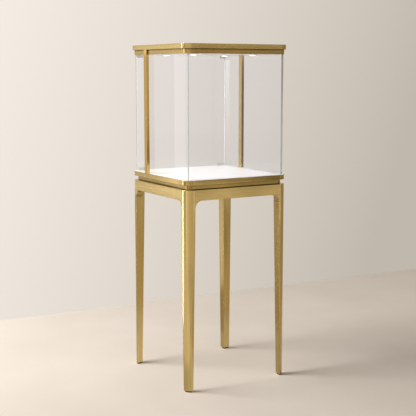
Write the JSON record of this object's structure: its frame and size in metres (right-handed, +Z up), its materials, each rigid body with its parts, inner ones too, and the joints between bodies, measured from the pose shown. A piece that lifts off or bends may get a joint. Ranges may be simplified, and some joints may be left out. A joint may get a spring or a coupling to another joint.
{
  "type": "glass tower display case",
  "caption": "Square glass display hood under a lit metal-banded roof, on a white deck and a tall frame with tapered legs, arched apron corners and a rear glass door.",
  "frame": {"origin": "on the floor, under the middle of the case", "axes": "+Z up, -Y towards the front, +Y towards the rear door, X across the front"},
  "size_m": [0.455, 0.455, 1.3],
  "materials": {
    "brass_toned_stainless": "brushed stainless steel sheet with a brass-toned coating",
    "clear_glass": "clear float glass with polished edges",
    "clear_acrylic": "clear cast acrylic, flame polished",
    "white_lacquer": "steel with satin white lacquer",
    "white_panel": "satin white acrylic sheet",
    "white_plastic": "moulded, satin",
    "lit_lens": "frosted, lit from behind",
    "fibreboard": "sanded fibreboard",
    "plain_steel": "zinc plated",
    "mill_aluminium": "mill finish",
    "black_plastic": "moulded, fine texture",
    "seat_rubber": "soft extruded strip"
  },
  "bodies": {
    "case": {"cap_band": "brass_toned_stainless", "cap_top_plate": "brass_toned_stainless", "cap_core": "fibreboard", "lower_band": "brass_toned_stainless", "ceiling_board": "fibreboard", "ceiling_panel": "white_panel", "led_rims": "white_plastic", "led_lenses": "lit_lens", "led_bodies": "mill_aluminium", "led_cable": "black_plastic", "supply_lead": "black_plastic", "glass_front": "clear_glass", "glass_left": "clear_glass", "glass_right": "clear_glass", "glass_seats_deck": "seat_rubber", "glass_seats_roof": "seat_rubber", "post_left": "brass_toned_stainless", "post_right": "brass_toned_stainless", "post_inserts": "plain_steel", "post_screws": "plain_steel", "deck_band": "brass_toned_stainless", "deck_board": "fibreboard", "deck_panel": "white_panel", "pivot_bush_bottom": "black_plastic", "pivot_bush_top": "black_plastic", "door_catch": "white_plastic", "lock_sleeve": "plain_steel", "neck_band": "brass_toned_stainless", "neck_channel_front": "mill_aluminium", "neck_channel_rear": "mill_aluminium", "neck_channel_left": "mill_aluminium", "neck_channel_right": "mill_aluminium", "base_plate": "mill_aluminium", "led_driver": "white_plastic", "power_inlet": "black_plastic", "frame_bolts": "plain_steel", "deck_screws": "plain_steel", "leg_front_left": "brass_toned_stainless", "leg_front_right": "brass_toned_stainless", "leg_rear_left": "brass_toned_stainless", "leg_rear_right": "brass_toned_stainless", "apron_front": "brass_toned_stainless", "apron_rear": "brass_toned_stainless", "apron_left": "brass_toned_stainless", "apron_right": "brass_toned_stainless", "arch_gussets": "brass_toned_stainless", "glide_front_left": "black_plastic", "glide_front_right": "black_plastic", "glide_rear_left": "black_plastic", "glide_rear_right": "black_plastic"},
    "door": {"door_glass": "clear_glass", "door_shoe_bottom": "white_lacquer", "door_shoe_top": "white_lacquer", "door_pull_shoe": "clear_acrylic", "door_strike": "plain_steel"},
    "lock": {"lock_cylinder": "plain_steel", "lock_cam": "plain_steel"}
  },
  "joints": [
    {"name": "door_swing", "type": "hinge", "parent": "case", "child": "door", "pos_m": [-0.191, 0.207, 0.804], "axis": [0, 0, 1], "range_deg": [0, 110]},
    {"name": "lock_turn", "type": "hinge", "parent": "case", "child": "lock", "pos_m": [0.14, 0.22, 0.79425], "axis": [0, -1, 0], "range_deg": [0, 90]}
  ]
}
